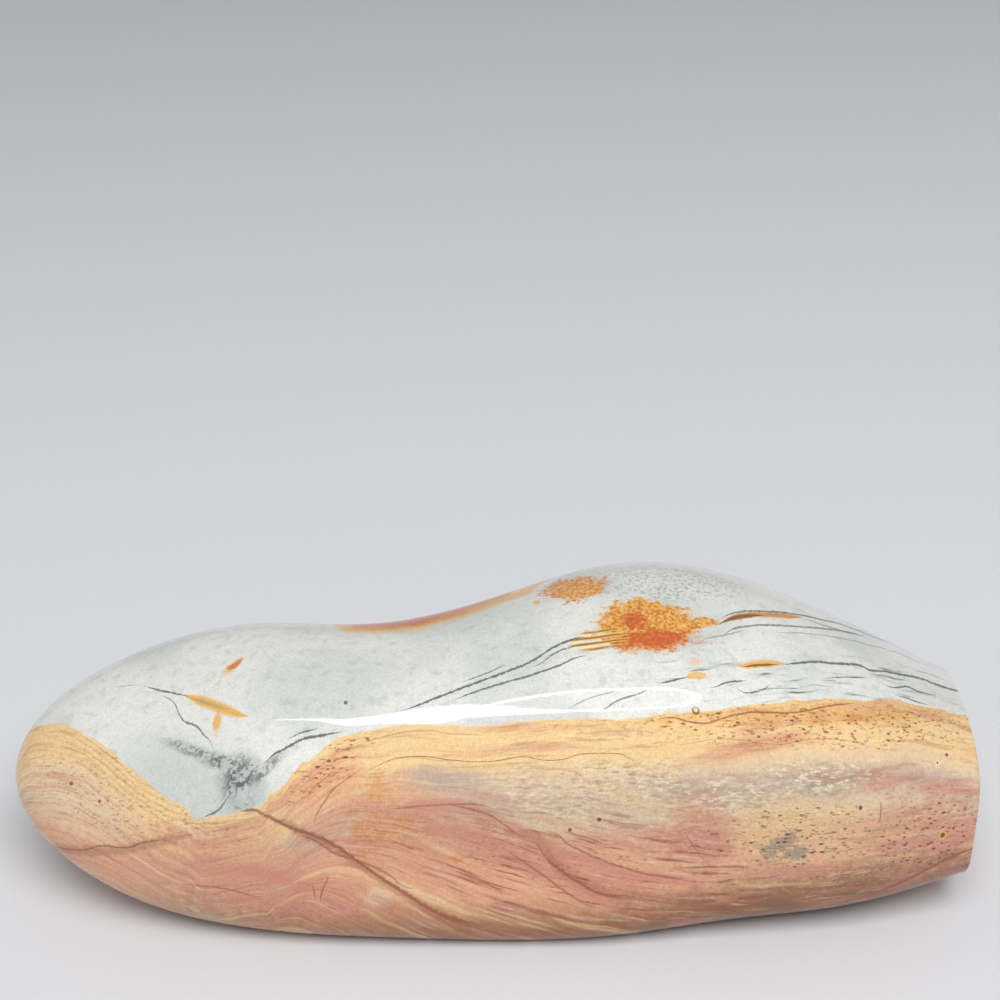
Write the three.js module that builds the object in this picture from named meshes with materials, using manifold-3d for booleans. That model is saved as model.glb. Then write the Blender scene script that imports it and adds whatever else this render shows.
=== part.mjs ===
import * as THREE from 'three';
import { mergeVertices } from 'three/addons/utils/BufferGeometryUtils.js';
import Module from 'manifold-3d';

// A polished freeform of polychrome jasper, one natural piece of stone.
// It lies on a small ground flat, with a blunt rounded nose at -X, a waist, a hump
// at +X of the middle and a sawn flat end at +X. The near side, -Y, is the steep one.
// Millimetres, +Z up. The origin is the middle of the footprint, on the ground.

// Driving dimensions
const LENGTH = 194;
const NOSE_X = -LENGTH / 2;
const SAW_X = 96;
const SAW_TURN = THREE.MathUtils.degToRad(2.3);
const REST_Z = 0;

// The stone is a ball drawn out along X: its near pole is the nose, and the saw
// takes the far end off. This is the ball's radius along the length.
const REACH = 130;

// Sections at nine even stations from the nose to the sawn end. They are the control
// values of a smooth curve, so the stone passes close to them rather than through them.
const HALF_DEPTH = [52, 47.5, 40.5, 34, 34.5, 37.5, 37.5, 36, 32.5];
const CENTRE_Y = [-7.5, -5.5, -5.2, -6.2, -3.5, 0.6, 1.5, 0.5, 0.5];
const HALF_HEIGHT = [30, 30.5, 29, 27, 27.5, 29, 28, 24, 17.5];
const CENTRE_Z = [23, 20.5, 23.5, 23, 25.5, 29.4, 28, 23, 18.8];
const LEAN = [7.5, 6.5, 1, -2.5, -1.5, 0, -1, -2.5, -5.5];

// How full each quarter of a section is: 0 is an ellipse's arc, 1 a rounded square's
const FULL_TOP_FRONT = [0.7, 0.7, 0.7, 0.55, 0.45, 0.4, 0.45, 0.5, 0.5];
const FULL_TOP_BACK = 0.2;
const FULL_LOW_BACK = 0.7;
const FULL_LOW_FRONT = [1.35, 1.7, 1.8, 1.8, 1.8, 1.75, 1.5, 1.5, 1.5];

// Facets around the section and from pole to pole
const AROUND = 64;
const ALONG = 60;
const CUTTER = 300;

// Uniform cubic B-spline through a list of station values, run on straight past the ends
function profile(values, x) {
  const last = values.length - 1;
  const at = (i) => {
    if (i < 0) return values[0] + i * (values[1] - values[0]);
    if (i > last) return values[last] + (i - last) * (values[last] - values[last - 1]);
    return values[i];
  };
  const t = (x - NOSE_X) / (LENGTH / last);
  const i = Math.floor(t);
  const f = t - i;
  const g = 1 - f;
  const before = g * g * g;
  const here = 3 * f * f * f - 6 * f * f + 4;
  const next = 3 * g * g * g - 6 * g * g + 4;
  const after = f * f * f;
  return (before * at(i - 1) + here * at(i) + next * at(i + 1) + after * at(i + 2)) / 6;
}

// Moves a point of the unit ball to its place on the stone
function place(point) {
  const x = NOSE_X + REACH * (1 + point.x);
  const reach = Math.min(x, SAW_X + 30);
  const front = 1 - point.y;
  const back = 1 + point.y;
  const top = 1 + point.z;
  const low = 1 - point.z;
  const fullTop = profile(FULL_TOP_FRONT, reach) * front + FULL_TOP_BACK * back;
  const fullLow = profile(FULL_LOW_FRONT, reach) * front + FULL_LOW_BACK * back;
  const full = (fullTop * top + fullLow * low) / 4;
  const taper = 1 + point.x ** 2 + point.x ** 4;
  const corner = (taper * point.y * point.z) ** 2;
  const swell = Math.max(1 - 2 * full * corner, 0.1) ** -0.25;
  const side = point.y * swell;
  const rise = point.z * swell;
  const y = profile(CENTRE_Y, reach) + profile(HALF_DEPTH, reach) * side;
  const z = profile(CENTRE_Z, reach) + profile(HALF_HEIGHT, reach) * rise;
  return new THREE.Vector3(x, y, z + profile(LEAN, reach) * side);
}

function stoneBlank() {
  const ball = new THREE.SphereGeometry(1, AROUND, ALONG);
  ball.rotateZ(Math.PI / 2);
  const position = ball.attributes.position;
  const point = new THREE.Vector3();
  for (let i = 0; i < position.count; i += 1) {
    point.fromBufferAttribute(position, i).normalize();
    const placed = place(point);
    position.setXYZ(i, placed.x, placed.y, placed.z);
  }
  return ball;
}

function sawCut() {
  const box = new THREE.BoxGeometry(CUTTER, CUTTER, CUTTER);
  box.translate(CUTTER / 2, 0, 0);
  box.rotateZ(-SAW_TURN);
  box.translate(SAW_X, 0, 0);
  return box;
}

function restFlat() {
  const box = new THREE.BoxGeometry(2 * CUTTER, CUTTER, CUTTER);
  box.translate(0, 0, REST_Z - CUTTER / 2);
  return box;
}

const wasm = await Module();
wasm.setup();

function toSolid(geometry) {
  const bare = geometry.clone();
  bare.deleteAttribute('normal');
  bare.deleteAttribute('uv');
  const merged = mergeVertices(bare, 1e-6);
  const mesh = new wasm.Mesh({
    numProp: 3,
    vertProperties: new Float32Array(merged.attributes.position.array),
    triVerts: new Uint32Array(merged.index.array),
  });
  return new wasm.Manifold(mesh);
}

function toGeometry(solid) {
  const mesh = solid.getMesh();
  const geometry = new THREE.BufferGeometry();
  geometry.setAttribute('position', new THREE.BufferAttribute(mesh.vertProperties, 3));
  geometry.setIndex(new THREE.BufferAttribute(mesh.triVerts, 1));
  geometry.computeVertexNormals();
  return geometry;
}

const jasper = new THREE.MeshStandardMaterial({
  color: 0xc9b5a0,
  roughness: 0.08,
  metalness: 0,
});

const solid = toSolid(stoneBlank()).subtract(toSolid(sawCut())).subtract(toSolid(restFlat()));
const stone = new THREE.Mesh(toGeometry(solid), jasper);
stone.name = 'stone';

const part = new THREE.Group();
part.add(stone);

export default part;
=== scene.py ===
"""A polished freeform of polychrome jasper: the stone, its solid pattern, the studio and the camera.

The file is laid out as an add-on: each operator makes one piece and the stage has its own.
Lengths in the property groups are metres. The stone's pattern is laid out in millimetres.
"""

import math

import bpy
import numpy as np
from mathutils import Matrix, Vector, noise


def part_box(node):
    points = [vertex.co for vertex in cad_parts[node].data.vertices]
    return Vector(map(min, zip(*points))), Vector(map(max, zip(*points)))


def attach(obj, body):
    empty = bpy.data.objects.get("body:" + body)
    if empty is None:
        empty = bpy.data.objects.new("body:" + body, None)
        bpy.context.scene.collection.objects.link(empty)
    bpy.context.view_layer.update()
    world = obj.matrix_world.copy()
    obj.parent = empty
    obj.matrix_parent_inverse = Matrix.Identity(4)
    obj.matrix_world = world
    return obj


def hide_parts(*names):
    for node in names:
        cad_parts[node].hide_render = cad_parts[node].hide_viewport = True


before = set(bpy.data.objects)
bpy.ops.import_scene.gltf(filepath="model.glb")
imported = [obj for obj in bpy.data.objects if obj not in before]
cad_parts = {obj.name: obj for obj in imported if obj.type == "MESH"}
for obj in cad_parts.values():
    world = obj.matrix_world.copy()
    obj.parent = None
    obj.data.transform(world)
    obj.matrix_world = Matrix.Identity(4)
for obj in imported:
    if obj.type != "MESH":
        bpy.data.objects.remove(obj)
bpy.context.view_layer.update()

bl_info = {
    "name": "Polished Jasper Freeform",
    "version": (1, 0, 0),
    "blender": (4, 5, 0),
    "location": "3D View > Sidebar > Jasper",
    "description": "Makes a polished jasper freeform and a plain studio for it",
    "category": "Add Mesh",
}

MM = 0.001

# The stone's sections, at nine even stations from the nose to the sawn end, in millimetres.
# They are the control values of a smooth curve along the length.
NOSE_X = round(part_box("stone")[0].x / MM, 3)
SPAN = -2 * NOSE_X
REACH = 130.0
HALF_DEPTH = (52, 47.5, 40.5, 34, 34.5, 37.5, 37.5, 36, 32.5)
CENTRE_Y = (-7.5, -5.5, -5.2, -6.2, -3.5, 0.6, 1.5, 0.5, 0.5)
HALF_HEIGHT = (30, 30.5, 29, 27, 27.5, 29, 28, 24, 17.5)
CENTRE_Z = (23, 20.5, 23.5, 23, 25.5, 29.4, 28, 23, 18.8)
LEAN = (7.5, 6.5, 1, -2.5, -1.5, 0, -1, -2.5, -5.5)

# How full each quarter of a section is: 0 is an ellipse's arc, 1 a rounded square's
FULL_TOP_FRONT = (0.7, 0.7, 0.7, 0.55, 0.45, 0.4, 0.45, 0.5, 0.5)
FULL_LOW_FRONT = (1.35, 1.7, 1.8, 1.8, 1.8, 1.75, 1.5, 1.5, 1.5)
FULL_TOP_BACK = 0.2
FULL_LOW_BACK = 0.7

# The sections stay the same from this far beyond the saw cut
STEADY_BEYOND = 30.0

# The pattern's own axes: along the stone, into it, and up its near side as a viewer
# who looks down at this angle sees it. Markings are placed on them in millimetres.
PATTERN_TILT = math.radians(36.0)

# How far apart, in millimetres, are the waves in which drawn lines wander
DRIFT_SIZE = 8.0


def colour(levels):
    """Display levels, 0 to 255, as the linear colour that Blender takes."""
    shares = [level / 255.0 for level in levels]
    return tuple(
        value / 12.92 if value <= 0.04045 else ((value + 0.055) / 1.055) ** 2.4
        for value in shares)


# The stone's tones
TONES = {
    "grey": (222, 222, 216), "cool_grey": (189, 194, 191), "green_grey": (150, 157, 149),
    "seam": (84, 90, 90), "cream": (229, 195, 142), "ochre": (204, 134, 64),
    "beige": (215, 189, 156), "mauve": (180, 158, 144), "salmon": (217, 161, 126),
    # peach is darkened partly as painted shade towards the bottom, where it ends the warm ramp
    "pink": (198, 132, 112), "peach": (170, 112, 70), "rust": (142, 70, 36),
    # tan is laid partly as painted shade and a painted reflection of a dark table along the bottom
    "umber": (130, 82, 30), "tan": (112, 72, 46), "brown": (144, 82, 58),
    "red": (190, 80, 38), "orange": (204, 124, 48), "gold": (224, 174, 92),
    "olive": (156, 148, 124), "fleck": (228, 212, 184), "speck": (104, 54, 28),
}


def tint(name, description, levels):
    return bpy.props.FloatVectorProperty(
        name=name, description=description, size=3, subtype="COLOR",
        min=0.0, max=1.0, default=colour(levels))


def number(name, description, default, **kind):
    return bpy.props.FloatProperty(name=name, description=description, default=default, **kind)


def position(name, description, default):
    return bpy.props.FloatVectorProperty(
        name=name, description=description, default=default, subtype="TRANSLATION")


LENGTH = {"unit": "LENGTH", "subtype": "DISTANCE"}
ANGLE = {"unit": "ROTATION", "subtype": "ANGLE"}


class JASPER_PG_shape(bpy.types.PropertyGroup):
    """Sizes of the stone."""
    saw_place: number("Saw place", "Where the saw cut crosses the middle", 0.096, **LENGTH)
    saw_turn: number(
        "Saw turn", "How far the cut is turned to the near side", math.radians(2.3), **ANGLE)
    rim: number("Rim", "Radius of the soft edge round the saw cut", 0.0009, **LENGTH)
    flat_rim: number("Flat rim", "Radius of the edge round the ground flat", 0.0004, **LENGTH)
    unevenness: number("Unevenness", "Height of the polishing swells", 0.00018, **LENGTH)


class JASPER_PG_finish(bpy.types.PropertyGroup):
    """Polish and tones of the stone."""
    polish: number("Polish", "Roughness of the polished surface", 0.035, min=0.0)


# Each tone is a colour of the finish
for tone_name, tone_levels in TONES.items():
    label = tone_name.replace("_", " ").capitalize()
    JASPER_PG_finish.__annotations__[tone_name] = tint(label, "A tone of the stone", tone_levels)


class JASPER_PG_studio(bpy.types.PropertyGroup):
    """Floor, lights and camera."""
    floor_size: number("Floor", "Width of the square floor", 6.0, **LENGTH)
    floor_tint: tint("Floor tint", "Colour of the floor", (212, 213, 216))
    lamp_height: number("Lamp height", "Height of the ring lamp over the floor", 0.9, **LENGTH)
    lamp_glow: number("Lamp glow", "Brightness of the ring lamp", 14.0, min=0.0)
    soft_power: number("Soft light", "Power of the soft light overhead", 26.0, unit="POWER")
    soft_place: position("Soft place", "Where the soft light hangs", (0.15, -0.8, 1.4))
    sky: number("Fill", "Strength of the even light all round", 0.36, min=0.0)
    lens: number("Lens", "Focal length on a 36 mm frame", 72.0, unit="CAMERA")
    camera_place: position(
        "Camera place", "Where the camera stands", (0.00165, -0.337, 0.2714))
    camera_pitch: number(
        "Camera pitch", "How far the camera looks down", math.radians(29.5), **ANGLE)


def profile(values, x):
    """Smooth curve through the station values, run on straight past the last ones."""
    stations = np.array(values, dtype=float)
    first = 2 * stations[0] - stations[1]
    step = stations[-1] - stations[-2]
    padded = np.concatenate(([first], stations, stations[-1] + step * np.arange(1, 4)))
    place = np.clip((x - NOSE_X) / (SPAN / (len(stations) - 1)), 0, len(stations) + 0.999)
    i = np.minimum(np.floor(place).astype(int), len(stations))
    f = place - i
    g = 1 - f
    before = g ** 3
    here = 3 * f ** 3 - 6 * f ** 2 + 4
    after = 3 * g ** 3 - 6 * g ** 2 + 4
    last = f ** 3
    total = before * padded[i] + here * padded[i + 1] + after * padded[i + 2] + last * padded[i + 3]
    return total / 6


def on_stone(ball, saw_x):
    """Places of the unit ball's points on the stone, in millimetres."""
    along, side, rise = ball.T
    x = NOSE_X + REACH * (1 + along)
    station = np.minimum(x, saw_x + STEADY_BEYOND)
    top = profile(FULL_TOP_FRONT, station) * (1 - side) + FULL_TOP_BACK * (1 + side)
    low = profile(FULL_LOW_FRONT, station) * (1 - side) + FULL_LOW_BACK * (1 + side)
    full = (top * (1 + rise) + low * (1 - rise)) / 4
    corner = ((1 + along ** 2 + along ** 4) * side * rise) ** 2
    swell = np.maximum(1 - 2 * full * corner, 0.1) ** -0.25
    y = profile(CENTRE_Y, station) + profile(HALF_DEPTH, station) * side * swell
    z = profile(CENTRE_Z, station) + profile(HALF_HEIGHT, station) * rise * swell
    return np.stack((x, y, z + profile(LEAN, station) * side * swell), axis=1)


def edit_mesh(action):
    """Opens the active piece for editing, with all or nothing of it selected."""
    bpy.ops.object.mode_set(mode="EDIT")
    bpy.ops.mesh.select_all(action=action)


def add_cut_cube(name, first_cuts, second_cuts):
    """A cube cut evenly into small squares."""
    bpy.ops.mesh.primitive_cube_add(size=2.0)
    cube = bpy.context.object
    cube.name = name
    edit_mesh("SELECT")
    bpy.ops.mesh.subdivide(number_cuts=first_cuts)
    bpy.ops.mesh.subdivide(number_cuts=second_cuts)
    bpy.ops.object.mode_set(mode="OBJECT")
    return cube


def read_points(mesh):
    points = np.empty(len(mesh.vertices) * 3)
    mesh.vertices.foreach_get("co", points)
    return points.reshape(-1, 3)


def write_points(mesh, points):
    mesh.vertices.foreach_set("co", points.ravel())
    mesh.update()


# How far apart the polishing swells are, in metres
SWELL_SIZE = 0.028


def draw_out(cube, shape):
    """Moves the cube's points onto the stone, with the faint swells of hand polishing."""
    even = np.tan(read_points(cube.data) * math.pi / 4)
    unit = even / np.linalg.norm(even, axis=1, keepdims=True)
    saw_x = shape.saw_place / MM
    placed = on_stone(unit, saw_x) * MM
    heights = np.array([noise.noise(Vector(p) / SWELL_SIZE) for p in placed])
    placed[:, 1:] += unit[:, 1:] * (heights * shape.unevenness)[:, None]
    write_points(cube.data, placed)


# Steps round a softened rim, and how much narrower each of the two loops inside it is
RIM_STEPS = 4
INNER_LOOP = 0.985


def slice_and_round(stone, through, normal, rim):
    """Cuts the stone off flat beyond a plane, with a rounded rim, and closes it."""
    normal = Vector(normal).normalized()
    edit_mesh("SELECT")
    bpy.ops.mesh.bisect(
        plane_co=Vector(through) - normal * rim, plane_no=normal, clear_outer=True,
        threshold=1e-7)
    bpy.ops.object.mode_set(mode="OBJECT")
    loop = np.array([v.co for v in stone.data.vertices if v.select])
    middle = Vector(loop.mean(axis=0))
    radius = float(np.linalg.norm(loop - loop.mean(axis=0), axis=1).mean())
    bpy.ops.object.mode_set(mode="EDIT")
    bpy.ops.mesh.select_mode(type="EDGE")
    width = radius
    for step in range(1, RIM_STEPS + 1):
        angle = step / RIM_STEPS * math.pi / 2
        before = (step - 1) / RIM_STEPS * math.pi / 2
        up = rim * (math.sin(angle) - math.sin(before))
        new_width = radius - rim * (1 - math.cos(angle))
        bpy.ops.mesh.extrude_edges_move(TRANSFORM_OT_translate={"value": normal * up})
        bpy.ops.transform.resize(value=(new_width / width,) * 3, center_override=middle)
        width = new_width
    for _ in range(2):
        bpy.ops.mesh.extrude_edges_move()
        bpy.ops.transform.resize(value=(INNER_LOOP,) * 3, center_override=middle)
    bpy.ops.mesh.edge_face_add()
    bpy.ops.mesh.select_mode(type="VERT")
    bpy.ops.object.mode_set(mode="OBJECT")


class Graph:
    """Adds nodes to a tree, and feeds each input with a value or another node's output."""

    def __init__(self, tree):
        self.tree = tree

    def feed(self, socket, value):
        if isinstance(value, bpy.types.NodeSocket):
            self.tree.links.new(value, socket)
        elif socket.type == "RGBA" and len(value) == 3:
            socket.default_value = (*value, 1.0)
        else:
            socket.default_value = value

    def add(self, kind, inputs=None, **settings):
        node = self.tree.nodes.new(kind)
        for name, value in settings.items():
            setattr(node, name, value)
        for key, value in (inputs or {}).items():
            self.feed(node.inputs[key], value)
        return node

    def math(self, operation, *values, clamp=False):
        inputs = dict(enumerate(values))
        return self.add("ShaderNodeMath", inputs, operation=operation, use_clamp=clamp).outputs[0]

    def vector(self, operation, *values):
        node = self.add("ShaderNodeVectorMath", dict(enumerate(values)), operation=operation)
        return node.outputs["Vector"]

    def scale(self, vector, size):
        node = self.add("ShaderNodeVectorMath", {0: vector, "Scale": size}, operation="SCALE")
        return node.outputs["Vector"]

    def share_of(self, value, span):
        """How far value lies along span, as 0 to 1."""
        low, high = span
        return self.math("MULTIPLY_ADD", value, 1 / (high - low), -low / (high - low))

    def split(self, vector):
        return self.add("ShaderNodeSeparateXYZ", {0: vector}).outputs[:3]

    def join(self, x, y, z):
        return self.add("ShaderNodeCombineXYZ", {0: x, 1: y, 2: z}).outputs[0]

    def step(self, value, start, end, height=1.0):
        """0 up to start, height from end on, and a smooth rise between them."""
        return self.add("ShaderNodeMapRange", {
            "Value": value, "From Min": start, "From Max": end, "To Max": height},
            interpolation_type="SMOOTHSTEP").outputs["Result"]

    def noise(self, vector, scale, detail=2.0, roughness=0.5):
        """Soft noise about zero, a half either way at most."""
        node = self.add("ShaderNodeTexNoise", {
            "Vector": vector, "Scale": scale, "Detail": detail, "Roughness": roughness})
        return self.math("SUBTRACT", node.outputs["Fac"], 0.5)

    def blend(self, mask, below, above):
        """above laid over below, as far as the mask says."""
        node = self.add("ShaderNodeMix", {"Factor": mask}, data_type="RGBA")
        under, over = (socket for socket in node.inputs if socket.type == "RGBA")
        self.feed(under, below)
        self.feed(over, above)
        return next(socket for socket in node.outputs if socket.type == "RGBA")

    def curve(self, value, points, sharp):
        """A drawn curve, both ways from 0 to 1. Points are rounded off unless sharp."""
        node = self.add("ShaderNodeFloatCurve", {"Value": value})
        curve = node.mapping.curves[0]
        while len(curve.points) < len(points):
            curve.points.new(0.5, 0.5)
        for spot, (x, y) in zip(curve.points, points):
            spot.location = (x, y)
            spot.handle_type = "VECTOR" if sharp else "AUTO_CLAMPED"
        node.mapping.update()
        return node.outputs["Value"]

    def course(self, along, points):
        """The level of a line drawn through points, at each place along the stone."""
        drawn = [(share(x, ALONG_SPAN), share(y, LEVEL_SPAN)) for x, y in points]
        low, high = LEVEL_SPAN
        return self.math("MULTIPLY_ADD", self.curve(along, drawn, False), high - low, low)

    def seams(self, run, rise, seams, ragged):
        """The mask of thin seams that follow each other along run, at drawn heights of rise.

        run and rise are (value, span). Each seam is (half width, places), and thins out to
        both its ends.
        """
        run_value, run_span = run
        rise_value, rise_span = rise
        path = []
        breadth = [(0.0, HAIR)]
        for width, points in sorted(seams, key=lambda seam: seam[1][0]):
            start, end = points[0][0], points[-1][0]
            shoulder = min((end - start) * 0.3, LONGEST_TAPER)
            path += [(share(a, run_span), share(b, rise_span)) for a, b in points]
            full = width / BROADEST
            breadth += [(share(start, run_span), HAIR), (share(start + shoulder, run_span), full)]
            breadth += [(share(end - shoulder, run_span), full), (share(end, run_span), HAIR)]
        breadth.append((1.0, HAIR))
        off = self.math("SUBTRACT", rise_value, self.curve(run_value, path, False))
        away = self.math("ABSOLUTE", off)
        half = self.math("MULTIPLY", self.curve(run_value, breadth, True), ragged)
        steep = -EDGE * (rise_span[1] - rise_span[0]) / BROADEST
        return self.math("MULTIPLY_ADD", self.math("DIVIDE", away, half), steep, EDGE, clamp=True)


def share(value, span):
    return (value - span[0]) / (span[1] - span[0])


def make_layers_group():
    """Fine layers drawn out along the stone, as a value about zero."""
    tree = bpy.data.node_groups.new("Jasper layers", "ShaderNodeTree")
    for name in ("Along", "Depth", "Layer", "Length", "Thickness"):
        tree.interface.new_socket(name, in_out="INPUT", socket_type="NodeSocketFloat")
    tree.interface.new_socket("Value", in_out="OUTPUT", socket_type="NodeSocketFloat")
    graph = Graph(tree)
    given = graph.add("NodeGroupInput").outputs
    output = graph.add("NodeGroupOutput").inputs["Value"]
    vector = graph.join(
        graph.math("DIVIDE", given["Along"], given["Length"]),
        graph.math("DIVIDE", given["Depth"], given["Length"]),
        graph.math("DIVIDE", given["Layer"], given["Thickness"]))
    graph.feed(output, graph.noise(vector, 1.0, detail=2.5, roughness=0.6))
    return tree


# The pattern's extent along the stone and up its near side, and over the ground
ALONG_SPAN = (-100.0, 100.0)
LEVEL_SPAN = (-25.0, 60.0)
HEIGHT_SPAN = (0.0, 60.0)

# Seams: the broadest half width that can be drawn, what is left of it where there is no
# seam, as a share, the longest taper at an end, and how crisp the edges are
BROADEST = 3.0
HAIR = 0.0005
LONGEST_TAPER = 4.0
EDGE = 1.8

# Where the grey stone ends and the warm stone begins, on the near side
GREY_EDGE = (
    (-100, 12), (-96.5, 16), (-93.5, 21.6), (-88.5, 22.4), (-85, 22), (-81, 20.5), (-77, 18.4),
    (-73, 15.8), (-69.5, 13.5), (-66.3, 11.2), (-63.8, 9), (-60.9, 7.5), (-58.3, 6.4),
    (-56, 4.2), (-52, 4.8), (-49, 5.5), (-45.7, 6.3), (-43.4, 6.7), (-42.6, 8.8), (-39.6, 10.5),
    (-37.5, 12.9), (-34.5, 15.6), (-31.2, 18.4), (-28.8, 19.7), (-21, 21.2), (-16, 22),
    (-5.7, 22), (9.5, 23.1), (28, 23.6), (40, 24.6), (52, 25.9), (63, 27), (78, 27.1),
    (87, 25.6), (96, 23.6), (100, 22.8))

# The same edge on the far side, as a height over the ground
BACK_EDGE = (
    (-100, 20), (-80, 18), (-60, 11), (-35, 9), (-10, 17), (20, 21), (50, 17), (75, 12), (100, 16))

# How the layers of the warm stone sink along it
LAYER_DRIFT = (
    (-100, 50), (-80, 50), (-62, 46), (-48, 44), (-30, 36), (-10, 26), (5, 20.5), (20, 16.5),
    (35, 14.5), (50, 14), (70, 15), (85, 17), (100, 20))

# How the fine streaks in the grey stone run
GREY_FLOW = ((-100, 22), (-40, 20), (0, 24), (40, 29), (62, 31.5), (82, 30), (100, 27))

# Parallel flow lines on the nose
NOSE_FLOW = (
    (-100, 24), (-83, 18.6), (-78, 15.7), (-74.7, 13.6), (-71.5, 11.6), (-68.6, 9.3),
    (-64.8, 7.3), (-59.5, 5.2), (-50, 3))

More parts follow.
